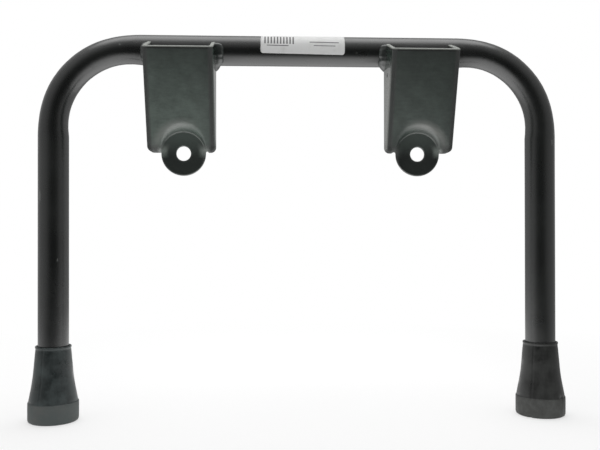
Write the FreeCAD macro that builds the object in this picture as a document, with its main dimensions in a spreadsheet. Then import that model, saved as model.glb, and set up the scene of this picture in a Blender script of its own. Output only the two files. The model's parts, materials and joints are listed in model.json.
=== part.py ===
"""Motorcycle centre stand: a bent tube with two pressed brackets, their welds, rubber feet and a blank sticker.

Millimetres. +Z is up, X runs along the top bar and -Y is the front, where the brackets stand out.
The origin lies on the ground, under the middle of the stand's bounding box.
"""
import FreeCAD, Part
import math
import os
import Sketcher

Vector = FreeCAD.Vector
Rotation = FreeCAD.Rotation
Placement = FreeCAD.Placement

X_AXIS = Vector(1, 0, 0)
Y_AXIS = Vector(0, 1, 0)
Z_AXIS = Vector(0, 0, 1)

# Driving dimensions, in millimetres and degrees
DRIVING = (
    # Tube frame
    ("tube_diameter", 22.0, "outside diameter of the bent tube"),
    ("tube_wall", 2.0, "wall of the tube"),
    ("leg_spacing", 364.0, "distance between the axes of the two legs"),
    ("bar_height", 273.0, "height of the top bar's axis above the ground"),
    ("bend_radius", 57.5, "radius of the tube's axis in each bend"),
    ("bend_lead", 6.5, "straight length beyond each bend in which the tube turns oval"),
    ("bend_squash", 2.0, "how much narrower the tube is across the bend, in the plane of the frame"),
    ("bend_bulge", 0.8, "how much wider it is there, from front to back"),
    # Rubber feet
    ("foot_height", 55.0, "height of a rubber boot"),
    ("foot_base_diameter", 36.4, "diameter of the boot's base"),
    ("foot_base_height", 14.5, "height of the base"),
    ("foot_step", 0.35, "how far the base stands proud of the flare above it"),
    ("foot_waist_share", 0.69, "share of the boot's height at which the flare meets the cone"),
    ("foot_waist_diameter", 28.1, "diameter there"),
    ("foot_neck_diameter", 25.0, "diameter of the cone just under the lip"),
    ("foot_lip_height", 1.6, "height of the raised lip at the mouth"),
    ("foot_lip_step", 0.4, "how far the lip stands proud of the cone"),
    ("foot_floor", 9.0, "rubber under the end of the tube"),
    ("foot_clearance", 0.05, "gap around the tube in the boot's bore"),
    ("foot_sole_round", 1.6, "rounding of the sole's edge"),
    ("foot_edge_round", 0.3, "rounding of the base's upper edge"),
    # Pressed brackets
    ("sheet", 3.0, "thickness of the brackets' sheet steel"),
    ("bracket_width", 49.4, "outside width across the two flanges"),
    ("bracket_spacing", 174.6, "distance between the middles of the two brackets"),
    ("fold_outside", 4.0, "outside radius of the folds round the web"),
    ("rim_drop", 5.8, "drop of the web's front top edge below the bar's axis"),
    ("rim_reach", 38.6, "distance of that edge in front of the legs' plane"),
    ("web_tilt", 19.3, "lean of the web, top forward, from the legs' plane"),
    ("web_bottom_drop", 76.3, "drop of the web's bottom edge below the bar's axis"),
    ("flange_back", 0.9, "distance of the flanges' back edges in front of the legs' plane"),
    ("notch_clearance", 0.05, "gap between the flanges' notch and the tube"),
    ("edge_round", 0.6, "rounding of the lug's front edge"),
    # Lugs
    ("hole_spacing", 170.9, "distance between the axes of the two bolt holes"),
    ("hole_drop", 77.9, "drop of the bolt holes below the bar's axis"),
    ("hole_diameter", 10.5, "bolt hole for an M10 bolt"),
    ("lug_radius", 16.1, "radius of the round lug about the bolt hole"),
    ("dish_radius", 15.6, "radius of the pressed dish's corner, where its wall would meet its floor"),
    ("dish_angle", 38.0, "slope of the dish's wall, from the bolt hole's axis"),
    ("dish_round", 2.5, "rounding between the dish's floor and its wall"),
    ("spring_hole_diameter", 3.0, "small hole in one flange"),
    ("spring_hole_drop", 20.5, "its drop below the bar's axis"),
    ("spring_hole_reach", 17.5, "its distance in front of the legs' plane"),
    # Fillet welds
    ("bead_run", 5.6, "leg of a weld bead along the tube"),
    ("bead_rise", 3.4, "leg of a weld bead on the flange"),
    ("bead_crown", 0.5, "how far the bead's face bulges"),
    ("bead_top_angle", 24.0, "angle above the horizontal at which a bead starts"),
    ("bead_sweep", 112.0, "angle that a bead covers round the tube"),
    # Sticker
    ("label_length", 62.0, "length of the sticker along the bar"),
    ("label_offset", 1.4, "distance of its middle from the stand's middle"),
    ("label_thickness", 0.15, "thickness of the sticker"),
    ("label_low_angle", 27.0, "angle below the horizontal of its front edge"),
    ("label_sweep", 146.0, "angle that it covers round the tube"),
    ("label_corner", 1.5, "radius of its corners"),
)

# Dimensions that follow from the driving ones
DERIVED = (
    ("tube_radius", "=tube_diameter / 2", "outside radius of the tube"),
    ("foot_waist_height", "=foot_height * foot_waist_share", "height of the boot's waist"),
    ("leg_plane_y", "=(rim_reach - foot_base_diameter / 2) / 2", "centres the stand's box on the origin"),
    ("web_height", "=web_bottom_drop - rim_drop", "upright height of the web"),
    ("web_run", "=web_height * tan(web_tilt * 1deg)", "how far the web's bottom lies behind its top"),
    ("lug_reach", "=rim_reach - web_run", "distance of the lug's front face in front of the legs' plane"),
    ("rim_z", "=bar_height - rim_drop", "height of the web's front top edge"),
    ("web_bottom_z", "=bar_height - web_bottom_drop", "height of the web's bottom edge"),
    ("hole_z", "=bar_height - hole_drop", "height of the bolt holes"),
    ("inner_face", "=(bracket_spacing - bracket_width) / 2", "distance of the inner flanges' faces from the middle"),
    ("outer_face", "=(bracket_spacing + bracket_width) / 2", "distance of the outer flanges' faces from the middle"),
    ("wall_offset", "=sheet * (1 / cos(dish_angle * 1deg) - tan(dish_angle * 1deg))",
     "how much wider the dish's wall is on its back, at the lug's back face"),
)

# Tolerance for finding edges by their place or size
GRAIN = 0.01

# Where the tube's section is set along a bend: angle round the bend and share of the full squash there
BEND_STATIONS = ((5, 0.62), (20, 0.9), (45, 1.0), (70, 0.9), (85, 0.62))


def fill_sheet(doc):
    """Write every named dimension into the spreadsheet."""
    sheet = doc.addObject("Spreadsheet::Sheet", "Sizes")
    for row, (alias, value, meaning) in enumerate(DRIVING + DERIVED, start=1):
        sheet.set(f"A{row}", alias)
        sheet.set(f"B{row}", str(value))
        sheet.set(f"C{row}", meaning)
        sheet.setAlias(f"B{row}", alias)
        doc.recompute()
    return sheet


def bind(feature, **expressions):
    """Bind properties to expressions; a double underscore in a keyword stands for a dot."""
    for name, expression in expressions.items():
        feature.setExpression(name.replace("__", "."), expression)
    return feature


def make(doc, kind, name, **expressions):
    """Add a feature whose properties are bound to the spreadsheet."""
    return bind(doc.addObject(kind, name), **expressions)


def seat(feature, rotation=Rotation(), x="0", y="0", z="0"):
    """Turn a feature and bind its position; y is measured from the legs' plane, forward being negative."""
    feature.Placement = Placement(Vector(0, 0, 0), rotation)
    return bind(feature, Placement__Base__x=x, Placement__Base__y=f"Sizes.leg_plane_y + ({y})",
                Placement__Base__z=z)


def cut(doc, name, base, *tools):
    """Subtract one or more tools from a base."""
    tool = tools[0]
    if len(tools) > 1:
        tool = fuse(doc, f"{name}_tools", *tools)
    result = doc.addObject("Part::Cut", name)
    result.Base = base
    result.Tool = tool
    return result


def fuse(doc, name, *pieces):
    """Join pieces of one node into a single solid with merged faces."""
    result = doc.addObject("Part::MultiFuse", name)
    result.Shapes = list(pieces)
    result.Refine = True
    return result


def mirror(doc, name, source):
    """The mirror image of a feature in the plane X = 0."""
    result = doc.addObject("Part::Mirroring", name)
    result.Source = source
    result.Normal = X_AXIS
    return result


def plain(value):
    """A value that may carry a unit, as a plain number."""
    return float(getattr(value, "Value", value))


def size(doc, alias):
    """One dimension as a plain number."""
    return plain(doc.Sizes.get(alias))


def edge_numbers(shape, chosen):
    """Numbers of the edges that the test picks out; at least one has to match."""
    numbers = [i for i, edge in enumerate(shape.Edges, start=1) if not edge.Degenerated and chosen(edge)]
    if not numbers:
        raise RuntimeError("no edge matches")
    return numbers


def fillet(doc, name, base, radius, chosen):
    """Round the edges of a base that the test picks out."""
    doc.recompute()
    result = doc.addObject("Part::Fillet", name)
    result.Base = base
    result.Edges = [(i, radius, radius) for i in edge_numbers(base.Shape, chosen)]
    return result


def body_fillet(doc, body, name, base, radius, chosen):
    """Round edges inside a body, with the radius bound to an expression."""
    doc.recompute()
    result = body.newObject("PartDesign::Fillet", name)
    result.Base = (base, [f"Edge{i}" for i in edge_numbers(base.Shape, chosen)])
    return bind(result, Radius=radius)


def sketch_on(body, role, name):
    """Add a sketch on one of the body's own origin planes."""
    plane = next(item for item in body.Origin.OriginFeatures if item.Role == role)
    sketch = body.newObject("Sketcher::SketchObject", name)
    sketch.AttachmentSupport = [(plane, "")]
    sketch.MapMode = "FlatFace"
    return sketch


def pin_point(sketch, geometry, position, name, across, up):
    """Bind a sketch point to two expressions, its coordinates in the sketch."""
    point = sketch.getPoint(geometry, position)
    for kind, tag, start, expression in (
        ("DistanceX", "x", point.x, across),
        ("DistanceY", "y", point.y, up),
    ):
        index = sketch.addConstraint(Sketcher.Constraint(kind, -1, 1, geometry, position, start))
        sketch.renameConstraint(index, f"{name}_{tag}")
        sketch.setExpression(f"Constraints.{name}_{tag}", expression)


def outline(sketch, corners, arc=None):
    """Draw a closed outline with bound corners: (name, across, up).

    The edge that starts at corner number arc is an arc, tangent to the edge after it; the others are straight.
    """
    count = len(corners)
    places = [Vector(plain(sketch.evalExpression(across)), plain(sketch.evalExpression(up)), 0)
              for _, across, up in corners]
    for i in range(count):
        here, there = places[i], places[(i + 1) % count]
        if i == arc:
            sketch.addGeometry(tangent_arc(there, here, places[(i + 2) % count]))
        else:
            sketch.addGeometry(Part.LineSegment(here, there))
    for i in range(count):
        following = (i + 1) % count
        if i == arc:
            sketch.addConstraint(Sketcher.Constraint("Tangent", i, 1, following, 1))
        elif following == arc:
            sketch.addConstraint(Sketcher.Constraint("Coincident", i, 2, following, 2))
        else:
            sketch.addConstraint(Sketcher.Constraint("Coincident", i, 2, following, 1))
    for i, (name, across, up) in enumerate(corners):
        pin_point(sketch, i, 2 if i == arc else 1, name, across, up)


def tangent_arc(start, end, beyond):
    """An arc from start, where it runs on from the line to beyond, round to end."""
    along = (start - beyond).normalize()
    normal = Vector(-along.y, along.x, 0)
    chord = end - start
    radius = chord.dot(chord) / (2 * chord.dot(normal))
    centre = start + normal * radius
    angles = [math.atan2(point.y - centre.y, point.x - centre.x) % (2 * math.pi) for point in (start, end)]
    return Part.ArcOfCircle(Part.Circle(centre, Z_AXIS, abs(radius)), *angles)


def oval(doc, name, radius, angle, share, across, up):
    """One section of the bent tube, turned by an angle round the bend; its long axis lies front to back."""
    section = make(doc, "Part::Ellipse", name,
                   MajorRadius=f"{radius} + {share} * Sizes.bend_bulge / 2",
                   MinorRadius=f"{radius} - {share} * Sizes.bend_squash / 2")
    turn = Rotation(Y_AXIS, angle).multiply(Rotation(Z_AXIS, 90))
    return seat(section, turn, x=across, z=up)


def half_rod(doc, name, radius):
    """The left half of the bent tube as a solid rod: a leg, a bend that turns oval and half the top bar."""
    leg_x = "-Sizes.leg_spacing / 2"
    bar_start = "-Sizes.leg_spacing / 2 + Sizes.bend_radius + Sizes.bend_lead"
    leg_top = "Sizes.bar_height - Sizes.bend_radius - Sizes.bend_lead"

    leg = make(doc, "Part::Cylinder", f"{name}_leg", Radius=radius, Height=f"{leg_top} - Sizes.foot_floor")
    seat(leg, x=leg_x, z="Sizes.foot_floor")
    bar = make(doc, "Part::Cylinder", f"{name}_bar", Radius=radius, Height=f"-({bar_start})")
    seat(bar, Rotation(Y_AXIS, 90), x=bar_start, z="Sizes.bar_height")

    sections = [oval(doc, f"{name}_bend_start", radius, 0, 0, leg_x, leg_top)]
    for angle, share in BEND_STATIONS:
        across = f"{leg_x} + Sizes.bend_radius * (1 - cos({angle} * 1deg))"
        up = f"Sizes.bar_height - Sizes.bend_radius * (1 - sin({angle} * 1deg))"
        sections.append(oval(doc, f"{name}_bend_{angle}", radius, angle, share, across, up))
    sections.append(oval(doc, f"{name}_bend_end", radius, 90, 0, bar_start, "Sizes.bar_height"))
    bend = doc.addObject("Part::Loft", f"{name}_bend")
    bend.Sections = sections
    bend.Solid = True
    return fuse(doc, name, leg, bend, bar)


def make_tube_frame(doc):
    """The tube, bent twice and open at both ends."""
    rod = half_rod(doc, "tube_outside", "Sizes.tube_radius")
    bore = half_rod(doc, "tube_bore", "Sizes.tube_radius - Sizes.tube_wall")
    half = cut(doc, "tube_left_half", rod, bore)
    return fuse(doc, "tube_frame", half, mirror(doc, "tube_right_half", half))


def side_block(doc, name, inset, over, width, radius):
    """A block with the bracket's side outline, folded round the web and the bottom.

    Its front and bottom lie inset inside the bracket's outer faces, and its top and back run over by that much.
    """
    body = doc.addObject("PartDesign::Body", name)
    sketch = sketch_on(body, "YZ_Plane", f"{name}_side")
    lean = "(Sizes.web_tilt * 1deg)"
    rim_y = f"(-Sizes.rim_reach + {inset} * cos{lean} - {over} * sin{lean})"
    rim_z = f"(Sizes.rim_z + {inset} * sin{lean} + {over} * cos{lean})"
    foot_y = f"(-Sizes.lug_reach + {inset} / cos{lean} - {inset} * tan{lean})"
    foot_z = f"(Sizes.web_bottom_z + {inset})"
    back_y = f"(-Sizes.flange_back + {over})"
    outline(sketch, (
        ("rim", rim_y, rim_z),
        ("front_foot", foot_y, foot_z),
        ("back_foot", back_y, foot_z),
        ("back_top", back_y, f"{rim_z} + ({back_y} - {rim_y}) * tan{lean}"),
    ))
    pad = body.newObject("PartDesign::Pad", f"{name}_pad")
    pad.Profile = sketch
    pad.Midplane = True
    bind(pad, Length=width)
    seat(body, x="-Sizes.bracket_spacing / 2")
    doc.recompute()
    corners = [vertex.Point for vertex in pad.Shape.Vertexes]
    lowest = min(point.z for point in corners)
    rearmost = max(point.y for point in corners)

    def folded(edge):
        """The edges round the web's two sides and bottom, and the two lower corners."""
        first, second = [vertex.Point for vertex in edge.Vertexes]
        across = abs(first.x - second.x) > GRAIN
        low = [point.z < lowest + GRAIN for point in (first, second)]
        back = [point.y > rearmost - GRAIN for point in (first, second)]
        if all(back):
            return False
        return all(low) if across else any(low)

    body.Tip = body_fillet(doc, body, f"{name}_folds", pad, radius, folded)
    return body


def along_y(doc, name, radius, length, y):
    """A cylinder about the left bolt hole's axis that runs back from y."""
    cylinder = make(doc, "Part::Cylinder", name, Radius=radius, Height=length)
    return seat(cylinder, Rotation(X_AXIS, -90), x="-Sizes.hole_spacing / 2", y=y, z="Sizes.hole_z")


def dish_cone(doc, name, radius, y, rounding):
    """A cone about the left bolt hole's axis that opens to the front with the dish's slope from a rounded floor."""
    cone = make(doc, "Part::Cone", f"{name}_sharp", Radius1=radius, Height="Sizes.rim_reach",
                Radius2=f"{radius} + Sizes.rim_reach * tan(Sizes.dish_angle * 1deg)")
    seat(cone, Rotation(X_AXIS, 90), x="-Sizes.hole_spacing / 2", y=y, z="Sizes.hole_z")
    doc.recompute()
    return fillet(doc, name, cone, rounding, lambda edge: is_circle(edge, cone.Radius1.Value))


def is_circle(edge, radius):
    """Whether an edge is part of a circle of this radius."""
    return isinstance(edge.Curve, Part.Circle) and abs(edge.Curve.Radius - radius) < GRAIN


def make_left_bracket(doc):
    """The left bracket: a web, two flanges, a folded bottom, and a round lug set back in a pressed dish."""
    block = side_block(doc, "bracket_block", "0", "0", "Sizes.bracket_width", "Sizes.fold_outside")
    core = side_block(doc, "bracket_core", "Sizes.sheet", "(Sizes.sheet * 4)",
                      "Sizes.bracket_width - 2 * Sizes.sheet", "Sizes.fold_outside - Sizes.sheet")
    shell = cut(doc, "bracket_shell", block, core)

    wall_radius = "Sizes.dish_radius + Sizes.wall_offset"
    lug_front = "-Sizes.lug_reach"
    lug_back = "-Sizes.lug_reach + Sizes.sheet"
    inside_round = size(doc, "dish_round")
    wall_cone = dish_cone(doc, "bracket_dish_back", wall_radius, lug_back, inside_round + size(doc, "sheet"))
    wall = doc.addObject("Part::MultiCommon", "bracket_dish_wall")
    wall.Shapes = [block, wall_cone]
    lug = along_y(doc, "bracket_lug", "Sizes.lug_radius", "Sizes.sheet", lug_front)
    solid = fuse(doc, "bracket_solid", shell, wall, lug)

    dish = dish_cone(doc, "bracket_dish", "Sizes.dish_radius", lug_front, inside_round)
    behind = along_y(doc, "bracket_behind_lug", wall_radius, "Sizes.lug_reach", lug_back)
    bolt = along_y(doc, "bracket_bolt_hole", "Sizes.hole_diameter / 2", "2 * Sizes.sheet",
                   f"{lug_front} - Sizes.sheet / 2")
    notch = make(doc, "Part::Cylinder", "bracket_notch", Radius="Sizes.tube_radius + Sizes.notch_clearance",
                 Height="2 * Sizes.bracket_width")
    seat(notch, Rotation(Y_AXIS, 90), x="-Sizes.bracket_spacing / 2 - Sizes.bracket_width", z="Sizes.bar_height")
    sharp = cut(doc, "bracket_sharp", solid, dish, behind, bolt, notch)
    doc.recompute()

    front = size(doc, "leg_plane_y") - size(doc, "lug_reach")

    def lug_edge(edge):
        return is_circle(edge, size(doc, "lug_radius")) and abs(edge.Curve.Center.y - front) < GRAIN

    return fillet(doc, "left_bracket", sharp, size(doc, "edge_round"), lug_edge)


def make_right_bracket(doc, left):
    """The right bracket: the left one mirrored, with a small hole through its inner flange."""
    hole = make(doc, "Part::Cylinder", "spring_hole", Radius="Sizes.spring_hole_diameter / 2",
                Height="3 * Sizes.sheet")
    seat(hole, Rotation(Y_AXIS, 90), x="Sizes.inner_face - Sizes.sheet", y="-Sizes.spring_hole_reach",
         z="Sizes.bar_height - Sizes.spring_hole_drop")
    return cut(doc, "right_bracket", mirror(doc, "right_bracket_blank", left), hole)


def revolve(body, sketch, name, angle, axis="H_Axis"):
    """Turn a sketch about one of its own axes."""
    turned = body.newObject("PartDesign::Revolution", name)
    turned.Profile = sketch
    turned.ReferenceAxis = (sketch, [axis])
    return bind(turned, Angle=angle)


def round_bar(doc, body, x, angle):
    """Seat a body that was turned about X round the top bar; angle runs from the top to the front."""
    body.Placement = Placement(Vector(0, 0, 0), Rotation(X_AXIS, 45))
    return bind(body, Placement__Base__x=x, Placement__Base__y="Sizes.leg_plane_y",
                Placement__Base__z="Sizes.bar_height", Placement__Rotation__Angle=f"({angle}) * 1deg")


def make_weld(doc, name, face, side):
    """A fillet weld round the front of the bar against one flange; side is the way it spreads along X."""
    body = doc.addObject("PartDesign::Body", name)
    sketch = sketch_on(body, "XZ_Plane", f"{name}_section")
    low = "Sizes.tube_radius"
    outline(sketch, (
        ("root", "0", low),
        ("toe", f"{side} * Sizes.bead_run", low),
        ("crown", f"{side} * (Sizes.bead_run / 2 + Sizes.bead_crown)",
         f"{low} + Sizes.bead_rise / 2 + Sizes.bead_crown"),
        ("top", "0", f"{low} + Sizes.bead_rise"),
    ))
    revolve(body, sketch, f"{name}_turned", "Sizes.bead_sweep")
    return round_bar(doc, body, face, "90 - Sizes.bead_top_angle")


def make_label(doc):
    """The blank sticker, wrapped over the front and top of the bar."""
    body = doc.addObject("PartDesign::Body", "label")
    sketch = sketch_on(body, "XZ_Plane", "label_section")
    left, right = "-Sizes.label_length / 2", "Sizes.label_length / 2"
    under, over = "Sizes.tube_radius", "Sizes.tube_radius + Sizes.label_thickness"
    outline(sketch, (
        ("under_left", left, under),
        ("under_right", right, under),
        ("over_right", right, over),
        ("over_left", left, over),
    ))
    turned = revolve(body, sketch, "label_turned", "Sizes.label_sweep")
    round_bar(doc, body, "Sizes.label_offset", "90 + Sizes.label_low_angle - Sizes.label_sweep")
    doc.recompute()
    thickness = size(doc, "label_thickness")
    body.Tip = body_fillet(doc, body, "label_corners", turned, "Sizes.label_corner",
                           lambda edge: abs(edge.Length - thickness) < GRAIN)
    return body


def make_foot(doc, name, side):
    """A rubber boot: a solid sole and a base, a flare, a cone and a lip round a blind bore."""
    body = doc.addObject("PartDesign::Body", name)
    sketch = sketch_on(body, "XZ_Plane", f"{name}_section")
    base = "Sizes.foot_base_diameter / 2"
    neck = "Sizes.foot_neck_diameter / 2"
    lip = f"{neck} + Sizes.foot_lip_step"
    lip_low = "Sizes.foot_height - Sizes.foot_lip_height"
    bore = "Sizes.tube_radius + Sizes.foot_clearance"
    outline(sketch, (
        ("centre", "0", "0"),
        ("sole", base, "0"),
        ("base", base, "Sizes.foot_base_height"),
        ("flare", f"{base} - Sizes.foot_step", "Sizes.foot_base_height"),
        ("waist", "Sizes.foot_waist_diameter / 2", "Sizes.foot_waist_height"),
        ("neck", neck, lip_low),
        ("lip_low", lip, lip_low),
        ("lip_top", lip, "Sizes.foot_height"),
        ("mouth", bore, "Sizes.foot_height"),
        ("floor", bore, "Sizes.foot_floor"),
        ("middle", "0", "Sizes.foot_floor"),
    ), arc=3)
    turned = revolve(body, sketch, f"{name}_turned", "360", "V_Axis")
    seat(body, x=f"{side} * Sizes.leg_spacing / 2")
    doc.recompute()
    radius = size(doc, "foot_base_diameter") / 2
    height = size(doc, "foot_base_height")
    sole = body_fillet(doc, body, f"{name}_sole_edge", turned, "Sizes.foot_sole_round",
                       lambda edge: is_circle(edge, radius) and abs(edge.Curve.Center.z) < GRAIN)
    body.Tip = body_fillet(doc, body, f"{name}_base_edge", sole, "Sizes.foot_edge_round",
                           lambda edge: is_circle(edge, radius) and abs(edge.Curve.Center.z - height) < GRAIN)
    return body


def check(doc, nodes):
    """Stop if any feature failed or any node is empty, broken or not one solid."""
    for item in doc.Objects:
        if "Invalid" in item.State or "Error" in item.State:
            raise RuntimeError(f"{item.Label} failed: {item.State}")
    for node in nodes:
        if node.Shape.isNull() or not node.Shape.isValid() or len(node.Shape.Solids) != 1:
            raise RuntimeError(f"{node.Label} has a bad shape")


def main():
    doc = FreeCAD.newDocument("CentreStand")
    fill_sheet(doc)
    left_bracket = make_left_bracket(doc)
    nodes = [
        make_tube_frame(doc),
        left_bracket,
        make_right_bracket(doc, left_bracket),
        make_weld(doc, "left_outer_weld", "-Sizes.outer_face", -1),
        make_weld(doc, "left_inner_weld", "-Sizes.inner_face", 1),
        make_weld(doc, "right_inner_weld", "Sizes.inner_face", -1),
        make_weld(doc, "right_outer_weld", "Sizes.outer_face", 1),
        make_foot(doc, "left_foot", -1),
        make_foot(doc, "right_foot", 1),
        make_label(doc),
    ]
    doc.recompute()
    check(doc, nodes)

    os.makedirs("parts", exist_ok=True)
    for node in nodes:
        node.Shape.exportStep(f"parts/{node.Label}.step")
        box = node.Shape.optimalBoundingBox()
        print(f"{node.Label}: {node.Shape.Volume:.0f} mm3, X {box.XMin:.2f} to {box.XMax:.2f}, "
              f"Y {box.YMin:.2f} to {box.YMax:.2f}, Z {box.ZMin:.2f} to {box.ZMax:.2f}")


main()
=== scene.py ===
# Looks of the motorcycle centre stand: satin black paint, weld beads, rubber boots and a blank sticker.
import json
import math

import bmesh
import bpy
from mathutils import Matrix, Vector, noise


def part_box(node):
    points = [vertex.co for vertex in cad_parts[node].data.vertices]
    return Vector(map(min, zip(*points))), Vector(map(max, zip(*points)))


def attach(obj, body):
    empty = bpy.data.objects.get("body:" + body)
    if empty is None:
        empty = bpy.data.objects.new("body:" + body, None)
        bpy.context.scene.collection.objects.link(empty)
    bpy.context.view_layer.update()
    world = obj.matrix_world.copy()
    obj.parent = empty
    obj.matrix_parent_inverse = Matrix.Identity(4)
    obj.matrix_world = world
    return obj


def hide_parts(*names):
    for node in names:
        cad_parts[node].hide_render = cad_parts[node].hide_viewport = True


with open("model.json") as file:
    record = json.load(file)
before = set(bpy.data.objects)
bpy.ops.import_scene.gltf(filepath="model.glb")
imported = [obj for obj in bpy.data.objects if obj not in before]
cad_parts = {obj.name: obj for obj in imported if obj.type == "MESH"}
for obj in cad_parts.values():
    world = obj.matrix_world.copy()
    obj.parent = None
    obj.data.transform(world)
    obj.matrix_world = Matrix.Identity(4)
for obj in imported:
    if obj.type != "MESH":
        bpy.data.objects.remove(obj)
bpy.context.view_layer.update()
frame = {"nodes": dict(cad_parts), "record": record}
nodes = frame["nodes"]
mounts = {mount["name"]: mount for mount in frame["record"]["mounts"]}
mm = 0.001
print("frame loaded:", len(nodes), "nodes")

# Places that several pieces share, all in metres
tubeRadius = 11 * mm
sheetThick = 3 * mm
legAxisY = mounts["left_sole"]["pos_m"][1]
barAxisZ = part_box("tube_frame")[1].z - tubeRadius
holeZ = mounts["lug_bolts"]["pos_m"][2]
holeReachX = mounts["lug_bolts"]["dims"]["spacing_x_mm"] / 2 * mm
lugFrontY = mounts["lug_bolts"]["pos_m"][1] - sheetThick / 2
outward = {"left": -1, "right": 1}  # the way along X that leaves the stand's middle


def link(material, output, socket):
    material.node_tree.links.new(output, socket)


# A new node; a value that is a socket gets linked, any other is set on the node's own socket
def addNode(material, kind, values=None, **settings):
    made = material.node_tree.nodes.new("ShaderNode" + kind)
    for name, value in settings.items():
        setattr(made, name, value)
    for socket, value in (values or {}).items():
        if isinstance(value, bpy.types.NodeSocket):
            link(material, value, made.inputs[socket])
        else:
            made.inputs[socket].default_value = value
    return made


def newMaterial(name, values):
    material = bpy.data.materials.new(name)
    material.use_nodes = True
    shader = material.node_tree.nodes["Principled BSDF"]
    for socket, value in values.items():
        shader.inputs[socket].default_value = value
    return material, shader


def place(material):
    return addNode(material, "TexCoord").outputs["Object"]


def split(material, vector):
    return addNode(material, "SeparateXYZ", {0: vector}).outputs


def grain(material, where, size, detail=2.0, roughness=0.5):
    return addNode(material, "TexNoise", {"Vector": where, "Scale": 1 / size, "Detail": detail,
                                          "Roughness": roughness}).outputs["Fac"]


# A value that goes from toLow to toHigh while another goes from low to high, and stays there beyond them
def spread(material, value, low, high, toLow, toHigh):
    return addNode(material, "MapRange", {"Value": value, "From Min": low, "From Max": high,
                                          "To Min": toLow, "To Max": toHigh}).outputs["Result"]


def mathNode(material, operation, *values):
    return addNode(material, "Math", dict(enumerate(values)), operation=operation).outputs[0]


def vectorNode(material, operation, *values):
    made = addNode(material, "VectorMath", dict(enumerate(values)), operation=operation)
    return made.outputs["Value" if operation in ("LENGTH", "DISTANCE", "DOT_PRODUCT") else "Vector"]


def product(material, first, *others):
    for other in others:
        first = mathNode(material, "MULTIPLY", first, other)
    return first


# What a share leaves of the whole
def rest(material, share):
    return mathNode(material, "SUBTRACT", 1.0, share)


def farFrom(material, value, middle):
    return mathNode(material, "ABSOLUTE", mathNode(material, "SUBTRACT", value, middle))


# The Mix node has its two colours on sockets 6 and 7, and its two numbers on 2 and 3
def blendColours(material, factor, first, second):
    return addNode(material, "Mix", {0: factor, 6: first, 7: second}, data_type="RGBA").outputs[2]


def blendNumbers(material, factor, first, second):
    return addNode(material, "Mix", {0: factor, 2: first, 3: second}).outputs[0]


def bump(material, height, distance, strength=1.0, under=None):
    values = {"Height": height, "Distance": distance, "Strength": strength}
    if under is not None:
        values["Normal"] = under
    return addNode(material, "Bump", values).outputs["Normal"]


# A piece of the scene, which may stand for a CAD node
def newPiece(name, mesh, material, slot, *replaced):
    mesh.materials.clear()
    mesh.materials.append(material)
    mesh.polygons.foreach_set("use_smooth", [True] * len(mesh.polygons))
    piece = bpy.data.objects.new(name, mesh)
    bpy.context.scene.collection.objects.link(piece)
    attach(piece, "root")
    if replaced:
        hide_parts(*replaced)


# Ends a closed shape as a mesh whose faces look outwards
def closedMesh(name, shape):
    bmesh.ops.recalc_face_normals(shape, faces=shape.faces)
    mesh = bpy.data.meshes.new(name)
    shape.to_mesh(mesh)
    shape.free()
    return mesh


# Faces from each ring of points to the next, where a ring may be a single point
def joinRings(shape, rings):
    for first, second in zip(rings, rings[1:]):
        count = max(len(first), len(second))
        for i in range(count):
            after = (i + 1) % count
            if len(first) == 1:
                shape.faces.new((first[0], second[after], second[i]))
            elif len(second) == 1:
                shape.faces.new((first[i], first[after], second[0]))
            else:
                shape.faces.new((first[i], first[after], second[after], second[i]))


def smoothStep(value, low, high):
    share = min(max((value - low) / (high - low), 0.0), 1.0)
    return share * share * (3 - 2 * share)


# Satin black enamel over steel: orange peel, uneven gloss and a little dust
paint = {
    "dark": (0.0035, 0.0040, 0.0038),
    "worn": (0.0085, 0.0098, 0.0092),
    "index": 1.95,
    "cloudSize": 40 * mm,
    "cloudWear": (0.35, 0.7, 0.0, 0.55),  # from and to which grain it wears, and how far at each
    "speckSize": 1.2 * mm,
    "speckWear": (0.62, 0.75, 0.0, 0.6),
    "glossyTo": 0.3,  # the cloud's grain up to which the paint is glossy, and from which it is dull
    "dullFrom": 0.7,
    "glossy": 0.23,
    "dull": 0.34,
    "peelSize": 1.6 * mm,
    "peelDepth": 0.012 * mm,
    "waveSize": 14 * mm,
    "waveDepth": 0.05 * mm,
}


def satinPaint(name, tint, peel=1.0, dull=0.0, pale=1.0):
    def tinted(colour):
        return tuple(c * t * pale for c, t in zip(colour, tint)) + (1,)
    material, shader = newMaterial(name, {"IOR": paint["index"]})
    where = place(material)
    cloud = grain(material, where, paint["cloudSize"], detail=4.0)
    speck = grain(material, where, paint["speckSize"], detail=3.0, roughness=0.7)
    colour = blendColours(material, spread(material, cloud, *paint["cloudWear"]), tinted(paint["dark"]),
                          tinted(paint["worn"]))
    colour = blendColours(material, spread(material, speck, *paint["speckWear"]), colour, tinted(paint["worn"]))
    rough = spread(material, cloud, paint["glossyTo"], paint["dullFrom"], paint["glossy"] + dull,
                   paint["dull"] + dull)
    wave = bump(material, grain(material, where, paint["waveSize"]), paint["waveDepth"])
    peelBump = bump(material, grain(material, where, paint["peelSize"], detail=1.0),
                    paint["peelDepth"] * peel, under=wave)
    link(material, colour, shader.inputs["Base Color"])
    link(material, rough, shader.inputs["Roughness"])
    link(material, peelBump, shader.inputs["Normal"])
    return material, shader, colour, rough


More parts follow.
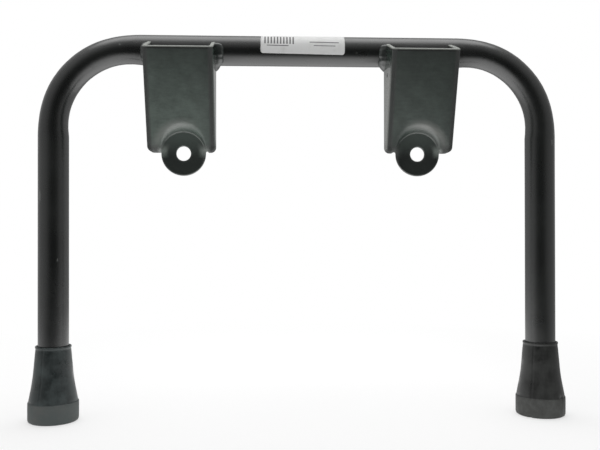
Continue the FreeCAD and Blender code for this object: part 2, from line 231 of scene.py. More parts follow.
# Tube: the CAD tube in satin paint with five small chips
tubeWear = {
    "tint": (0.78, 1.16, 0.98),
    "chipColour": (0.10, 0.105, 0.10, 1),
    # each chip's place and size in mm, and how far it is drawn out upwards
    "chips": ((-189.5, 2.4, 164.5, 0.9, 0.22), (-131.6, -0.8, 274.5, 0.7, 1.0), (-176.5, 0.6, 118.0, 0.5, 0.5),
              (188.0, 1.1, 205.0, 0.6, 0.3), (41.0, -0.7, 270.0, 0.5, 1.0)),
    "chipShare": 0.75,
    "edgeStart": 0.2,  # mm beyond the size where a chip starts to fade, and where it has gone
    "edgeEnd": 0.7,
    "raggedSize": 0.6 * mm,
    "raggedDepth": 0.9 * mm,
}


def tubePaint():
    material, shader, colour, _ = satinPaint("framePaint", tubeWear["tint"])
    where = place(material)
    ragged = grain(material, where, tubeWear["raggedSize"], detail=3.0, roughness=0.7)
    for x, y, z, size, drawn in tubeWear["chips"]:
        stretched = vectorNode(material, "MULTIPLY", where, (1, 1, drawn))
        away = vectorNode(material, "DISTANCE", stretched, (x * mm, y * mm, z * mm * drawn))
        away = mathNode(material, "MULTIPLY_ADD", ragged, tubeWear["raggedDepth"], away)
        chip = spread(material, away, (size + tubeWear["edgeStart"]) * mm, (size + tubeWear["edgeEnd"]) * mm,
                      tubeWear["chipShare"], 0.0)
        colour = blendColours(material, chip, colour, tubeWear["chipColour"])
    link(material, colour, shader.inputs["Base Color"])
    return material


tube = nodes["tube_frame"]
tube.data.materials.clear()
tube.data.materials.append(tubePaint())
print("tube painted")

# Pressed brackets: the CAD sheet with soft edges, its dish drawn softly out of the web round a raised lug
pressing = {
    "mergeWithin": 0.002 * mm,
    "voxel": 0.55 * mm,
    "softPasses": 3,
    "softFactor": 0.5,
    "webTop": 267.2 * mm,
    "webBottom": 196.7 * mm,
    "sheetDish": (15.6 * mm, math.radians(38)),  # floor radius and slope of the wall, as the CAD sheet has them
    "drawnDish": (15.8 * mm, math.radians(22)),  # and as they are drawn here
    "softest": 8.0 * mm,  # how far from front to back the rim's rounding may reach
    "softShare": 1.3,  # and its share of the dish's depth where that is less
    "lugEdge": (14.9 * mm, 16.6 * mm),  # where the raised lug's rounded edge starts and ends
    "lugProud": 0.35 * mm,
    "holeEdge": 6.5 * mm,
    "frontFacing": -0.3,  # a point is on the front face if its normal's Y is less than this
    "frontWithin": 1.2 * mm,  # and it lies this near to the CAD sheet's front
    "frontTop": 262 * mm,
    "webHalf": (19.5 * mm, 22.5 * mm),  # the drawing fades out here, towards both folds
    "bottomFade": 1.2 * mm,  # and where the web stands less than this in front of the lug
}

# Their paint carries painted light and shade besides dust. A painted reflection makes the web paler low down,
# broken up by dusty patches and streaks; painted highlights lie along the lug's edge, on its shoulders and on
# the sheet's upper rim; painted reflections lie on the dish's wall and the inner flanges; painted shade darkens
# the folds, the folded bottom and a line under the rim; and the lug is paler towards its top. Heights are above
# the ground, but on the lug and its shoulders above the hole. A reach is measured from the hole, and aside from
# the web's middle line. A pair says where a change starts and where it ends
paintedLightAndDust = {
    "paint": {"tint": (0.76, 1.20, 0.98), "peel": 1.3, "dull": 0.06},
    "pale": {"left": 3.2, "right": 2.5},  # times the enamel's own colours
    "webColour": (0.094, 0.128, 0.108, 1),  # painted reflection and highlights, the paler lug top, and dust on web, lug and shoulders
    "webHeights": (284 * mm, 222 * mm),  # no painted reflection above the first, most below the second
    "webShare": {"left": 0.98, "right": 0.57},
    "patchSize": 9 * mm,
    "patches": (0.25, 0.75, 0.65, 1.25),  # from and to which grain, and the share at each
    "streakSize": 5 * mm,
    "streakDrawn": 3.5,
    "streaks": (0.3, 0.7, 0.80, 1.20),
    "rightAside": (13 * mm, 22 * mm),  # the painted reflection fades towards the right-hand fold
    "rightShare": 0.62,
    "innerFacing": (-0.1, 0.6),
    "innerShare": {"left": 1.0, "right": 0.45},  # how much painted reflection the dish's inner side keeps; losing it there is painted shade
    "innerEnd": 25 * mm,
    "outerWay": (0.5, 0.87),  # the way from the hole to the dish's outer side: outwards and up
    "foldedBelow": 197 * mm,  # the folded bottom gets less painted reflection
    "fullSheenFrom": 203 * mm,
    "foldSheenShare": 0.35,
    "footTop": 202 * mm,  # and is dull, and darkened with painted shade
    "footDull": 1.6,
    "shadeColour": (0.012, 0.015, 0.013, 1),
    "footShare": 0.85,
    "dishReach": (15.0 * mm, 17.5 * mm),  # where the lug ends and where the sheet round it starts
    "lugHeights": (-2 * mm, 15 * mm),  # the lug paler towards its top
    "lugPale": {"left": 0.68, "right": 0.55},
    "highlightColour": (0.24, 0.26, 0.24, 1),  # a painted highlight: a pale ring along the lug's rounded edge
    "edgeReach": 15.5 * mm,
    "edgeHalf": 0.55 * mm,
    "edgeShare": 0.8,
    "edgeWay": (0.29, 0.96),  # palest on its upper side, a little to the right
    "edgeFacing": (0.2, 0.85),
    "shoulderStart": (10.5 * mm, 13.5 * mm),  # where painted highlights on the lug's sides start
    "shoulderEnd": (17.0 * mm, 19.5 * mm),
    "shoulderMiddle": 2 * mm,
    "shoulderHalf": 5.5 * mm,
    "shoulderSheen": 1.0,
    "shoulderPale": 0.5,
    "shoulderAcross": (-8 * mm, 8 * mm),  # the lug's left and right
    "shoulderSides": {"left": (1.0, 1.0), "right": (0.15, 1.0)},  # and the shoulders' share there
    "reflectionColour": (0.27, 0.27, 0.255, 1),  # painted reflection where the dish's wall stands out, most on the outer side
    "bandReach": 20.4 * mm,
    "bandHalf": 5.0 * mm,
    "bandShare": {"left": 0.46, "right": 0.58},
    "bandFacing": (0.45, 0.95),
    "foldAside": (20.3 * mm, 22.3 * mm),  # both folds are dull, keep none of the painted reflection and are darkened with painted shade
    "foldDull": 1.0,
    "foldShare": 0.7,
    "flangeAside": (23.7 * mm, 24.5 * mm),  # the inner flanges' paint is smoother than the web's
    "flangeAbove": 207 * mm,
    "flangeGloss": 0.75,
    # the inner flanges get a painted reflection too, in the dish wall's colour
    "flangePale": {"left": 0.05, "right": 0.6},
    "flangeShade": (247 * mm, 260 * mm),  # the painted reflection fades out beside the weld, which stays dark
    "rimHighlightColour": (0.30, 0.32, 0.29, 1),  # a painted highlight along the sheet's upper edge
    "rimPale": 0.6 * mm,  # pale down to here
    "rimEnd": 1.1 * mm,
    "rimShare": 0.8,
    "lineFrom": 1.7 * mm,  # then a line of painted shade down to here
    "underRim": 2.4 * mm,
    "lineShare": 0.95,
}


# Sockets that say where a point of the bracket lies
def bracketPlaces(material, side, lean):
    low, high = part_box(f"{side}_bracket")
    where = place(material)
    x, y, z = split(material, where)
    right = mathNode(material, "SUBTRACT", x, (low.x + high.x) / 2)
    fromHole = vectorNode(material, "SUBTRACT", where, (outward[side] * holeReachX, 0, holeZ))
    flat = vectorNode(material, "MULTIPLY", fromHole, (1, 0, 1))
    topLine = mathNode(material, "MULTIPLY_ADD", y, lean, pressing["webTop"] - low.y * lean)
    return {
        "where": where,
        "height": z,
        "right": right,  # all from the web's middle line: to the right,
        "inward": mathNode(material, "MULTIPLY", right, -outward[side]),  # towards the stand's middle
        "aside": mathNode(material, "ABSOLUTE", right),  # and to either side
        "flat": flat,  # from the hole, as seen from the front
        "reach": vectorNode(material, "LENGTH", flat),
        "across": split(material, fromHole)["X"],
        "above": mathNode(material, "SUBTRACT", z, holeZ),
        "underTop": mathNode(material, "SUBTRACT", topLine, z),
    }


# How straight a point lies in one direction from the hole: 1 is straight and 0 is square to it
def facing(material, at, across, up):
    ahead = vectorNode(material, "DOT_PRODUCT", at["flat"], (across, 0, up))
    return mathNode(material, "DIVIDE", ahead, at["reach"])


def bracketRoughness(material, at, rough):
    onFold = spread(material, at["aside"], *paintedLightAndDust["foldAside"], 1.0, 1.0 + paintedLightAndDust["foldDull"])
    onFoot = spread(material, at["height"], paintedLightAndDust["foldedBelow"], paintedLightAndDust["footTop"], paintedLightAndDust["footDull"], 0.0)
    offLug = spread(material, at["aside"], *paintedLightAndDust["dishReach"], 0.0, 1.0)
    duller = mathNode(material, "MULTIPLY_ADD", onFoot, offLug, onFold)
    onFlange = spread(material, at["inward"], *paintedLightAndDust["flangeAside"], 0.0,
                      paintedLightAndDust["flangeGloss"] + paintedLightAndDust["foldDull"])
    offFoot = spread(material, at["height"], paintedLightAndDust["foldedBelow"], paintedLightAndDust["flangeAbove"], 0.0, 1.0)
    glossier = product(material, onFlange, offFoot)
    return product(material, rough, mathNode(material, "SUBTRACT", duller, glossier))


# Painted reflection: the web paler low down, broken up by dusty patches and streaks, and less of it towards the
# right fold, the rim, the folded bottom and the dish's inner side
def webSheenAndDust(material, side, at, outside, onFold, outer):
    lower = spread(material, at["height"], *paintedLightAndDust["webHeights"], 0.0, paintedLightAndDust["webShare"][side])
    patches = grain(material, at["where"], paintedLightAndDust["patchSize"], detail=4.0, roughness=0.6)
    drawn = vectorNode(material, "MULTIPLY", at["where"], (1, 1, paintedLightAndDust["streakDrawn"]))
    streaks = grain(material, drawn, paintedLightAndDust["streakSize"], detail=3.0, roughness=0.6)
    offRight = spread(material, at["right"], *paintedLightAndDust["rightAside"], 1.0, paintedLightAndDust["rightShare"])
    offRim = spread(material, at["underTop"], paintedLightAndDust["rimEnd"], paintedLightAndDust["underRim"], 0.0, 1.0)
    offFoot = spread(material, at["height"], paintedLightAndDust["foldedBelow"], paintedLightAndDust["fullSheenFrom"], paintedLightAndDust["foldSheenShare"],
                     1.0)
    inner = spread(material, outer, *paintedLightAndDust["innerFacing"], 1 - paintedLightAndDust["innerShare"][side], 0.0)
    nearDish = spread(material, at["reach"], paintedLightAndDust["bandReach"], paintedLightAndDust["innerEnd"], 1.0, 0.0)
    return product(material, lower, outside, spread(material, patches, *paintedLightAndDust["patches"]),
                   spread(material, streaks, *paintedLightAndDust["streaks"]), offRight, rest(material, onFold), offRim,
                   offFoot, rest(material, product(material, inner, nearDish)))


# Painted highlights on the lug's shoulders, where it turns into the web's bottom corners
def shoulderHighlight(material, side, at):
    off = farFrom(material, at["above"], paintedLightAndDust["shoulderMiddle"])
    return product(material, spread(material, off, 0.0, paintedLightAndDust["shoulderHalf"], paintedLightAndDust["shoulderSheen"], 0.0),
                   spread(material, at["reach"], *paintedLightAndDust["shoulderStart"], 0.0, 1.0),
                   spread(material, at["reach"], *paintedLightAndDust["shoulderEnd"], 1.0, 0.0),
                   spread(material, at["across"], *paintedLightAndDust["shoulderAcross"], *paintedLightAndDust["shoulderSides"][side]))


def bracketPaint(side, lean):
    material, shader, colour, rough = satinPaint(f"{side}BracketPaint", **paintedLightAndDust["paint"],
                                                 pale=paintedLightAndDust["pale"][side])
    at = bracketPlaces(material, side, lean)
    across, up = paintedLightAndDust["outerWay"]
    outer = facing(material, at, across * outward[side], up)
    outside = spread(material, at["reach"], *paintedLightAndDust["dishReach"], 0.0, 1.0)
    # Painted shade on both folds
    onFold = product(material, spread(material, at["aside"], *paintedLightAndDust["foldAside"], 0.0, paintedLightAndDust["foldShare"]),
                     spread(material, at["inward"], *paintedLightAndDust["flangeAside"], 1.0, 0.0))
    # The lug paler towards its top
    lugPale = paintedLightAndDust["lugPale"][side]
    onLug = product(material, spread(material, at["above"], *paintedLightAndDust["lugHeights"], 0.0, lugPale),
                    rest(material, outside))
    onShoulder = shoulderHighlight(material, side, at)
    # One share of the paler colour: the web's painted reflection with its dust, the paler lug top, shoulder
    # highlights
    paler = mathNode(material, "MAXIMUM", webSheenAndDust(material, side, at, outside, onFold, outer),
                     mathNode(material, "MAXIMUM", onLug, onShoulder))
    # Painted highlight on the lug's rounded edge
    offEdge = farFrom(material, at["reach"], paintedLightAndDust["edgeReach"])
    edge = product(material, spread(material, offEdge, 0.0, paintedLightAndDust["edgeHalf"], paintedLightAndDust["edgeShare"], 0.0),
                   spread(material, facing(material, at, *paintedLightAndDust["edgeWay"]), *paintedLightAndDust["edgeFacing"], 0.0, 1.0))
    # Painted reflection on the dish's wall, most on its outer side
    offBand = farFrom(material, at["reach"], paintedLightAndDust["bandReach"])
    band = product(material, spread(material, offBand, 0.0, paintedLightAndDust["bandHalf"], paintedLightAndDust["bandShare"][side], 0.0),
                   spread(material, outer, *paintedLightAndDust["bandFacing"], 0.0, 1.0))
    # Painted shade on the folded bottom
    foot = product(material, spread(material, at["height"], paintedLightAndDust["foldedBelow"], paintedLightAndDust["footTop"],
                                    paintedLightAndDust["footShare"], 0.0), outside)
    # Painted reflection on the inner flanges, fading out towards the weld
    flange = product(material, spread(material, at["inward"], *paintedLightAndDust["flangeAside"], 0.0,
                                      paintedLightAndDust["flangePale"][side]),
                     spread(material, at["height"], *paintedLightAndDust["flangeShade"], 1.0, 0.0))
    # Painted shade in a thin line under the rim
    line = spread(material, at["underTop"], paintedLightAndDust["lineFrom"], paintedLightAndDust["underRim"], paintedLightAndDust["lineShare"], 0.0)
    # Painted highlight along the sheet's upper edge
    rim = spread(material, at["underTop"], paintedLightAndDust["rimPale"], paintedLightAndDust["rimEnd"], paintedLightAndDust["rimShare"], 0.0)
    for share, over in ((paler, "webColour"), (edge, "highlightColour"), (band, "reflectionColour"), (foot, "shadeColour"),
                        (onFold, "shadeColour"), (flange, "reflectionColour"),
                        (product(material, onShoulder, paintedLightAndDust["shoulderPale"]), "highlightColour"),
                        (line, "shadeColour"), (rim, "rimHighlightColour")):
        colour = blendColours(material, share, colour, paintedLightAndDust[over])
    link(material, colour, shader.inputs["Base Color"])
    link(material, bracketRoughness(material, at, rough), shader.inputs["Roughness"])
    return material


# The CAD sheet in small even faces
def evenSheet(side):
    shape = bmesh.new()
    shape.from_mesh(nodes[f"{side}_bracket"].data)
    bmesh.ops.remove_doubles(shape, verts=shape.verts, dist=pressing["mergeWithin"])
    mesh = bpy.data.meshes.new(f"{side}Sheet")
    shape.to_mesh(mesh)
    shape.free()
    sheet = bpy.data.objects.new(f"{side}Sheet", mesh)
    bpy.context.scene.collection.objects.link(sheet)
    even = sheet.modifiers.new("even", "REMESH")
    even.mode = "VOXEL"
    even.voxel_size = pressing["voxel"]
    mesh = bpy.data.meshes.new_from_object(sheet.evaluated_get(bpy.context.evaluated_depsgraph_get()))
    bpy.data.objects.remove(sheet)
    return mesh


# How far in front of the lug the dish's wall stands at this reach from the hole
def wallDepth(reach, floor, slope):
    return max(reach - floor, 0) / math.tan(slope)


# Moves the sheet's points from the CAD dish to the drawn one
def drawDish(shape, middle, lean):
    for vertex in shape.verts:
        depth = (vertex.co.z - pressing["webBottom"]) * lean  # how far the web stands in front of the lug here
        if depth <= 0:
            continue
        reach = math.hypot(abs(vertex.co.x) - holeReachX, vertex.co.z - holeZ)
        drawn = wallDepth(reach, *pressing["drawnDish"])
        drawn -= pressing["lugProud"] * smoothStep(reach, *pressing["lugEdge"])
        soft = min(pressing["softest"], pressing["softShare"] * depth)
        near = max(1 - abs(depth - drawn) / soft, 0)
        goal = lugFrontY - min(depth, drawn) + soft / 4 * near * near  # rounded where web and wall meet
        front = lugFrontY - min(depth, wallDepth(reach, *pressing["sheetDish"]))
        back = goal - front
        off = vertex.co.y - front
        facesFront = vertex.normal.y < pressing["frontFacing"] and abs(off) < pressing["frontWithin"]
        if facesFront and reach > pressing["holeEdge"] and vertex.co.z < pressing["frontTop"]:
            back -= off  # the front face takes the drawn shape exactly
        fade = 1 - smoothStep(abs(abs(vertex.co.x) - middle), *pressing["webHalf"])
        vertex.co.y += back * fade * smoothStep(depth, 0, pressing["bottomFade"])


def softBracket(side):
    low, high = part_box(f"{side}_bracket")
    lean = (lugFrontY - low.y) / (pressing["webTop"] - pressing["webBottom"])
    mesh = evenSheet(side)
    shape = bmesh.new()
    shape.from_mesh(mesh)
    shape.normal_update()
    drawDish(shape, abs(low.x + high.x) / 2, lean)
    for _ in range(pressing["softPasses"]):
        bmesh.ops.smooth_vert(shape, verts=shape.verts, factor=pressing["softFactor"],
                              use_axis_x=True, use_axis_y=True, use_axis_z=True)
    shape.to_mesh(mesh)
    shape.free()
    print(side, "bracket:", len(mesh.polygons), "faces")
    newPiece(f"{side}PressedBracket", mesh, bracketPaint(side, lean), "bracket_paint", f"{side}_bracket")


softBracket("left")
softBracket("right")

# Weld beads: hand-laid lumps round the front of the bar, one ring of points for each small step round it
bead = {
    "paint": {"tint": (0.85, 1.1, 1.0), "peel": 2.6, "dull": 0.02, "pale": 3.6},
    # each bead's bracket and flange, the seed of its lumps and its size
    "beads": (("left", "inner", 3, 0.98), ("left", "outer", 11, 0.92), ("right", "inner", 4, 1.05),
              ("right", "outer", 12, 0.92)),
    "topAngle": 15,  # degrees above the bar's front, and how far round it goes down from there
    "sweep": 116,
    "run": 5.5 * mm,  # along the bar, and out from it
    "rise": 3.6 * mm,
    "sunk": 0.4 * mm,
    "steps": 84,
    "across": 14,
    "ripple": 0.02,
    "ripplePitch": 17,  # degrees
    "lump": 0.36,
    "lumpSize": 8 * mm,
    "lumpRadius": 12 * mm,  # how far from the bar's axis the lumps are measured
    "seedStep": 7.3,
    "fullness": 0.85,
    "spatter": 0.06,  # a finer share of the lumps
    "spatterFiner": 3.1,
    "flatFullness": 1.75,  # towards the lower end the bead gets flat and narrow
    "flatFrom": 0.5,
    "flatTo": 0.85,
    "flatRun": 0.72,
    "flatRise": 1.15,
    "topTaper": 14,  # degrees over which the upper and the lower end run out
    "lowTaper": 18,
    "endSize": 0.06,
}


# One ring of a bead, each point as its distance out from the flange and up from the tube
def beadRing(share, angle, face, way, seed, swell):
    end = min(share * bead["sweep"] / bead["topTaper"], (1 - share) * bead["sweep"] / bead["lowTaper"], 1)
    taper = math.sqrt(1 - (1 - end) ** 2) * (1 - bead["endSize"]) + bead["endSize"]
    ripple = 1 + bead["ripple"] * math.sin(math.radians(bead["sweep"] * share) * 360 / bead["ripplePitch"])
    flatter = smoothStep(share, bead["flatFrom"], bead["flatTo"])
    fullness = bead["fullness"] + (bead["flatFullness"] - bead["fullness"]) * flatter
    run = bead["run"] * (1 + (bead["flatRun"] - 1) * flatter)
    rise = bead["rise"] * (1 + (bead["flatRise"] - 1) * flatter)
    ring = []
    for across in range(bead["across"] + 1):
        turn = across / bead["across"] * math.pi / 2
        out = run * max(math.cos(turn), 0) ** fullness
        up = rise * math.sin(turn) ** fullness
        spot = Vector((face + way * out, angle * bead["lumpRadius"], up)) / bead["lumpSize"]
        spot += Vector((seed * bead["seedStep"], 0, 0))
        lump = 1 + bead["lump"] * noise.noise(spot) + bead["spatter"] * noise.noise(spot * bead["spatterFiner"])
        size = taper * ripple * lump * swell
        ring.append((out * size, up * size))
    return ring + [(-bead["sunk"], ring[-1][1]), (-bead["sunk"], -bead["sunk"]), (ring[0][0], -bead["sunk"])]


def weldBead(name, face, way, seed, swell):
    shape = bmesh.new()
    rings = []
    for step in range(bead["steps"] + 1):
        share = step / bead["steps"]
        angle = math.radians(bead["topAngle"] - bead["sweep"] * share)
        rings.append([shape.verts.new((face + way * out, legAxisY - (tubeRadius + up) * math.cos(angle),
                                       barAxisZ + (tubeRadius + up) * math.sin(angle)))
                      for out, up in beadRing(share, angle, face, way, seed, swell)])
    joinRings(shape, rings)
    shape.faces.new(rings[0])
    shape.faces.new(list(reversed(rings[-1])))
    return closedMesh(name, shape)


def layBead(side, flange, seed, swell, material):
    low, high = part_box(f"{side}_bracket")
    way = outward[side] if flange == "outer" else -outward[side]
    name = f"{side}{flange.capitalize()}Bead"
    mesh = weldBead(name, high.x if way > 0 else low.x, way, seed, swell)
    newPiece(name, mesh, material, "weld_paint", f"{side}_{flange}_weld")


weldPaint = satinPaint("weldPaint", **bead["paint"])[0]
for side, flange, seed, swell in bead["beads"]:
    layBead(side, flange, seed, swell, weldPaint)
print("brackets and weld beads done")

# Rubber boots: a turned shell with a mould seam, small nicks and a slightly uneven surface
boot = {
    # radius and height in millimetres, from the sole up and into the bore
    "profile": ((0, 0), (9, 0), (15.5, 0), (16.9, 0.15), (17.8, 0.7), (18.15, 1.7), (18.2, 3.0), (18.2, 6.0),
                (18.2, 9.0), (18.2, 12.0), (18.15, 13.7), (17.95, 14.35), (17.6, 14.5), (17.5, 14.9),
                (17.35, 16.2), (17.0, 18.0), (16.6, 20.2), (16.1, 22.7), (15.6, 25.5), (15.1, 28.5),
                (14.6, 32.0), (14.2, 35.5), (13.9, 39.0), (13.6, 42.5), (13.3, 46.0), (13.0, 49.5),
                (12.7, 52.2), (12.6, 53.1), (12.75, 53.5), (12.9, 53.9), (12.9, 54.6), (12.75, 54.9),
                (12.45, 55.0), (11.9, 54.9), (11.4, 54.5), (11.12, 53.8), (11.06, 52.0), (11.06, 40.0),
                (11.06, 9.0), (0, 9.0)),
    "points": 144,
    "plainWithin": 12,  # the bore, up to this radius in mm, and the sole stay plain
    "plainBelow": 0.05,
    "uneven": 0.16 * mm,  # how far the flare's surface wanders in
    "unevenSize": 13 * mm,
    "unevenShift": 3,  # times the boot's place, so that the two differ
    "seams": {"left": (-20, 160), "right": (-43, 137)},  # azimuth from the front, towards +X
    "seamDepth": 0.28 * mm,
    "seamHalf": 1.1,  # half its width, in degrees
    "seamEnd": 4,  # halves from the seam where it has gone
    "baseTop": 14.4 * mm,
    # each nick's azimuth in degrees, and its height, width and depth in mm
    "nicks": {"left": ((31, 0.2, 1.5, 0.35), (-158, 0.1, 2.0, 0.5)),
              "right": ((-46, 0.2, 1.4, 2.0), (38, 14.2, 2.6, 0.9))},
    "nickTall": 0.8,  # its height as a share of its width
    "nickAcross": 3,  # how sharply it ends across and up
    "nickUp": 2,
}


# How many degrees one azimuth lies past another, the short way round
def turnFrom(turn, azimuth):
    return (turn - azimuth + 180) % 360 - 180


# The outside's radius in metres at one point, after its wandering, seams and nicks
def outsideRadius(side, centreX, spot, turn, radius, height):
    out = radius * mm
    where = (spot * out + Vector((centreX * boot["unevenShift"], 0, height * mm))) / boot["unevenSize"]
    out -= boot["uneven"] * (0.5 + 0.5 * noise.noise(where))
    for seam in boot["seams"][side]:
        off = abs(turnFrom(turn, seam))
        if off < boot["seamEnd"] * boot["seamHalf"] and height > boot["baseTop"] / mm:
            out -= boot["seamDepth"] * math.exp(-(off / boot["seamHalf"]) ** 2)
    for azimuth, level, width, depth in boot["nicks"][side]:
        off = math.radians(turnFrom(turn, azimuth)) * radius
        above = (height - level) / (width * boot["nickTall"])
        out -= depth * mm * math.exp(-(off / width) ** 2 * boot["nickAcross"] - above ** 2 * boot["nickUp"])
    return out


def bootShell(side, centreX):
    shape = bmesh.new()
    rings = []
    for radius, height in boot["profile"]:
        ring = []
        for i in range(boot["points"] if radius else 1):
            turn = 360 * i / boot["points"]
            spot = Vector((math.sin(math.radians(turn)), -math.cos(math.radians(turn)), 0))
            out = radius * mm
            if radius > boot["plainWithin"] and height > boot["plainBelow"]:
                out = outsideRadius(side, centreX, spot, turn, radius, height)
            ring.append(shape.verts.new((centreX + spot.x * out, legAxisY + spot.y * out, height * mm)))
        rings.append(ring)
    joinRings(shape, rings)
    return closedMesh(f"{side}Boot", shape)


# Black rubber: a matte, scuffed base and a flare that handling has made shiny in patches. A row of four says
# from and to which grain the colour changes, and how far at each
rubber = {
    "index": 1.58,
    "base": {"left": (0.060, 0.074, 0.072, 1), "right": (0.028, 0.029, 0.026, 1)},
    "baseWorn": (0.080, 0.084, 0.080, 1),
    "baseClouds": (0.35, 0.7, 0.0, 0.8),
    "baseSpecks": (0.58, 0.72, 0.0, 0.5),
    "baseRough": 0.72,
    "flare": {"left": (0.0090, 0.0155, 0.0155, 1), "right": (0.0045, 0.0055, 0.0045, 1)},
    "flareDusty": {"left": (0.028, 0.042, 0.042, 1), "right": (0.018, 0.020, 0.018, 1)},
    "flareClouds": (0.42, 0.72),
    "flareSmears": (0.56, 0.70, 0.0, 0.5),
    "shineClouds": (0.32, 0.66),
    "shiny": 0.24,
    "matte": 0.52,
    "dust": {"left": 0.0, "right": 0.04},  # how much sooner the clouds turn the flare dusty
    "flareFade": (-0.5 * mm, 0.2 * mm),  # the flare starts here, above the base's top
    "lipStart": 52.6 * mm,
    "lipFade": 0.8 * mm,
    "lipShare": 0.35,
    "cloudSize": 11 * mm,
    "smearSize": 5 * mm,
    "smearDepth": 0.10 * mm,
    "smearStrength": 0.7,
    "grainSize": 0.8 * mm,
    "grainDepth": 0.035 * mm,
}


def bootRubber(side):
    material, shader = newMaterial(f"{side}BootRubber", {"IOR": rubber["index"]})
    where = place(material)
    height = split(material, where)["Z"]
    cloud = grain(material, where, rubber["cloudSize"], detail=4.0, roughness=0.62)
    smear = grain(material, where, rubber["smearSize"], detail=3.0, roughness=0.7)
    fine = grain(material, where, rubber["grainSize"], detail=4.0, roughness=0.7)
    dustFrom, dustTo = (level - rubber["dust"][side] for level in rubber["flareClouds"])
    shineFrom, shineTo = (level - rubber["dust"][side] for level in rubber["shineClouds"])
    base, paler = rubber["base"][side], rubber["flareDusty"][side]
    flare = blendColours(material, spread(material, cloud, dustFrom, dustTo, 0.0, 1.0), rubber["flare"][side],
                         paler)
    flare = blendColours(material, spread(material, smear, *rubber["flareSmears"]), flare, paler)
    base = blendColours(material, spread(material, cloud, *rubber["baseClouds"]), base, rubber["baseWorn"])
    base = blendColours(material, spread(material, fine, *rubber["baseSpecks"]), base, rubber["baseWorn"])
    flareFrom, flareTo = (boot["baseTop"] + step for step in rubber["flareFade"])
    onFlare = spread(material, height, flareFrom, flareTo, 0.0, 1.0)
    onLip = spread(material, height, rubber["lipStart"], rubber["lipStart"] + rubber["lipFade"], 0.0,
                   rubber["lipShare"])
    colour = blendColours(material, onLip, blendColours(material, onFlare, base, flare), paler)
    shine = spread(material, cloud, shineFrom, shineTo, rubber["shiny"], rubber["matte"])
    wave = bump(material, smear, rubber["smearDepth"], rubber["smearStrength"])
    link(material, colour, shader.inputs["Base Color"])
    link(material, blendNumbers(material, onFlare, rubber["baseRough"], shine), shader.inputs["Roughness"])
    link(material, bump(material, fine, rubber["grainDepth"], under=wave), shader.inputs["Normal"])
    return material


for side in outward:
    centreX = mounts[f"{side}_sole"]["pos_m"][0]
    newPiece(f"{side}Boot", bootShell(side, centreX), bootRubber(side), "foot_rubber", f"{side}_foot")
print("rubber boots done")

# Sticker: paper with rounded corners wrapped over the bar, slightly askew, with plain ruled bars and no words
sticker = {
    "length": 62.0 * mm,
    "offset": 1.4 * mm,
    "lowAngle": -21.5,  # degrees above the bar's front
    "highAngle": 117.0,
    "skew": 0.85,  # degrees, clockwise as seen from the front
    "corner": 2.0 * mm,
    "cornerSteps": 6,
    "rowStep": 0.6 * mm,
    "columnStep": 1.0 * mm,
    "sunk": 0.02 * mm,
    "thickness": 0.12 * mm,
    "inkSunk": 0.01 * mm,
    "inkProud": 0.012 * mm,
    "index": 1.45,
    "paper": (0.73, 0.735, 0.73, 1),
    "soiled": (0.56, 0.56, 0.54, 1),
    "soilSize": 9 * mm,
    "soil": (0.52, 0.78, 0.0, 0.6),  # from and to which grain, and how far at each
    "gloss": (0.3, 0.7, 0.34, 0.50),
    "fibreSize": 0.5 * mm,
    "fibreDepth": 0.012 * mm,
    "ink": (0.13, 0.13, 0.135, 1),
    "inkRough": 0.5,
    "fadedTimes": 2.4,
    "fadedSize": 0.7 * mm,
    "fading": (0.5, 0.7, 0.0, 0.7),
    "stripes": {"start": -28.3 * mm, "count": 10, "pitch": 2.3 * mm, "width": 1.05 * mm,
                "angles": (16.0, 58.0)},
    # each ruled bar's left and right in mm, and its low and high angle
    "rules": ((-26.5, -10.5, 7.0, 10.5), (5.0, 26.5, 24.0, 28.0), (8.0, 24.0, 10.0, 13.0)),
}


def arc(degrees):
    return math.radians(degrees) * tubeRadius


# A point of the flat sticker, skewed and then wrapped round the bar
def onBar(along, around, radius):
    middle = arc((sticker["lowAngle"] + sticker["highAngle"]) / 2)
    skew = math.radians(-sticker["skew"])
    x = along * math.cos(skew) - (around - middle) * math.sin(skew)
    angle = (middle + along * math.sin(skew) + (around - middle) * math.cos(skew)) / tubeRadius
    return (sticker["offset"] + x, legAxisY - radius * math.cos(angle), barAxisZ + radius * math.sin(angle))


# Where a patch has its rows of points, closer together in its rounded corners
def patchLevels(low, high, corner):
    rows = max(int((high - low) / sticker["rowStep"]), 2)
    levels = [low + (high - low) * i / rows for i in range(rows + 1)]
    if not corner:
        return levels
    steps = sticker["cornerSteps"]
    ends = [corner * (1 - math.cos(math.radians(90 * i / steps))) for i in range(steps + 1)]
    between = [level for level in levels if low + corner < level < high - corner]
    return [low + end for end in ends] + between + [high - end for end in reversed(ends)]


def patchGrid(shape, patch, radius):
    left, right, low, high, corner = patch
    columns = max(int((right - left) / sticker["columnStep"]), 1)
    grid = []
    for level in patchLevels(low, high, corner):
        gap = max(corner - (level - low), corner - (high - level), 0)
        pulled = corner - math.sqrt(max(corner * corner - gap * gap, 0))
        step = (right - left - 2 * pulled) / columns
        spots = [left + pulled + step * i for i in range(columns + 1)]
        grid.append([shape.verts.new(onBar(spot, level, radius)) for spot in spots])
    return grid


